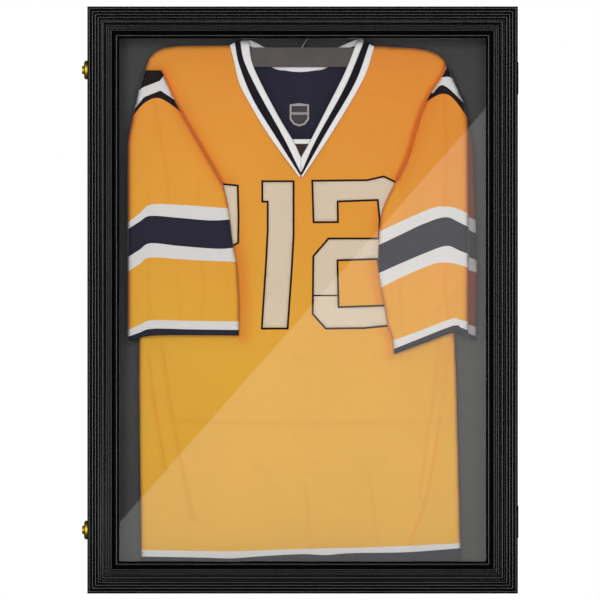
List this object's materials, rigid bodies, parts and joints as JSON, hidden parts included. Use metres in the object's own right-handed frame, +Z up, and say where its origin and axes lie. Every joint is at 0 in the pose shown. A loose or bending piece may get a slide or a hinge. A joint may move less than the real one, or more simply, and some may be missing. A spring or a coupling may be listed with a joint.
{
  "type": "jersey display frame",
  "caption": "Wall-hung shadow-box case with a reeded black hinged glazed door, brass cam locks and hinges, felt lining, and a jersey on a hanger.",
  "frame": {"origin": "in the wall plane, which the bumper faces touch, at the middle of the case's width and height", "axes": "+Z up, -Y is the front (towards the room), +Y into the wall, +X to the right seen from the front"},
  "size_m": [0.6721, 0.0662, 0.9027],
  "materials": {
    "bar": "matt dark plastic",
    "bead": "matt black",
    "board": "brown hardboard",
    "bumper": "matt",
    "case_black": "satin black lacquer",
    "chrome": "polished",
    "clear": "clear acrylic",
    "collar_rib": "white and navy ribbed knit",
    "felt": "dark grey felt",
    "hinge_brass": "antique brass",
    "jersey_cloth": "orange polyester knit",
    "lock_brass": "polished brass",
    "moulding_black": "satin black lacquer over reeded moulding",
    "screw_brass": "brass",
    "seal": "black foam",
    "sleeve_cloth": "orange polyester knit with knitted-in bands",
    "steel": "zinc plated"
  },
  "bodies": {
    "case": {"back_board": "board", "back_board_screws": "steel", "backing_felt": "felt", "case_bottom_rail": "case_black", "case_corner_nails": "steel", "case_left_rail": "case_black", "case_right_rail": "case_black", "case_top_rail": "case_black", "dust_seal": "seal", "hanger_peg": "chrome", "hinge_case_leaf_lower": "hinge_brass", "hinge_case_leaf_upper": "hinge_brass", "hinge_case_screws": "screw_brass", "hinge_pin_lower": "hinge_brass", "hinge_pin_upper": "hinge_brass", "lock_body_lower": "lock_brass", "lock_body_upper": "lock_brass", "lock_nut_lower": "steel", "lock_nut_upper": "steel", "peg_screw": "steel", "strap_hanger_left": "steel", "strap_hanger_right": "steel", "strap_screws": "steel", "wall_bumpers": "bumper"},
    "door": {"clear_panel": "clear", "door_bottom_rail": "moulding_black", "door_corner_nails": "steel", "door_left_rail": "moulding_black", "door_right_rail": "moulding_black", "door_top_rail": "moulding_black", "glazing_bead_bottom": "bead", "glazing_bead_left": "bead", "glazing_bead_right": "bead", "glazing_bead_top": "bead", "glazing_pins": "steel", "hinge_door_leaf_lower": "hinge_brass", "hinge_door_leaf_upper": "hinge_brass", "hinge_door_screws": "screw_brass", "lock_strike_lower": "steel", "lock_strike_screws": "steel", "lock_strike_upper": "steel"},
    "upper_lock_plug": {"lock_plug_upper": "lock_brass", "lock_cam_upper": "steel", "lock_cam_screw_upper": "steel"},
    "lower_lock_plug": {"lock_plug_lower": "lock_brass", "lock_cam_lower": "steel", "lock_cam_screw_lower": "steel"},
    "left_ring": {"strap_ring_left": "steel"},
    "right_ring": {"strap_ring_right": "steel"},
    "hanger": {"hanger_bar": "bar", "hanger_hook": "chrome", "jersey_body": "jersey_cloth", "jersey_collar": "collar_rib", "jersey_sleeve_left": "sleeve_cloth", "jersey_sleeve_right": "sleeve_cloth"}
  },
  "joints": [
    {"name": "door_hinge", "type": "hinge", "parent": "case", "child": "door", "pos_m": [0.33, -0.0456, 0], "axis": [0, 0, 1], "range_deg": [0, 170]},
    {"name": "upper_lock_turn", "type": "hinge", "parent": "case", "child": "upper_lock_plug", "pos_m": [-0.33, -0.026, 0.355], "axis": [-1, 0, 0], "range_deg": [0, 90]},
    {"name": "lower_lock_turn", "type": "hinge", "parent": "case", "child": "lower_lock_plug", "pos_m": [-0.33, -0.026, -0.355], "axis": [-1, 0, 0], "range_deg": [0, 90]},
    {"name": "left_ring_flip", "type": "hinge", "parent": "case", "child": "left_ring", "pos_m": [-0.277, -0.003, 0.44], "axis": [0, 0, -1], "range_deg": [0, 150]},
    {"name": "right_ring_flip", "type": "hinge", "parent": "case", "child": "right_ring", "pos_m": [0.277, -0.003, 0.44], "axis": [0, 0, 1], "range_deg": [0, 150]},
    {"name": "hanger_sway", "type": "hinge", "parent": "case", "child": "hanger", "pos_m": [0, -0.0205, 0.412], "axis": [0, 1, 0], "range_deg": [-1.5, 1.5]}
  ]
}
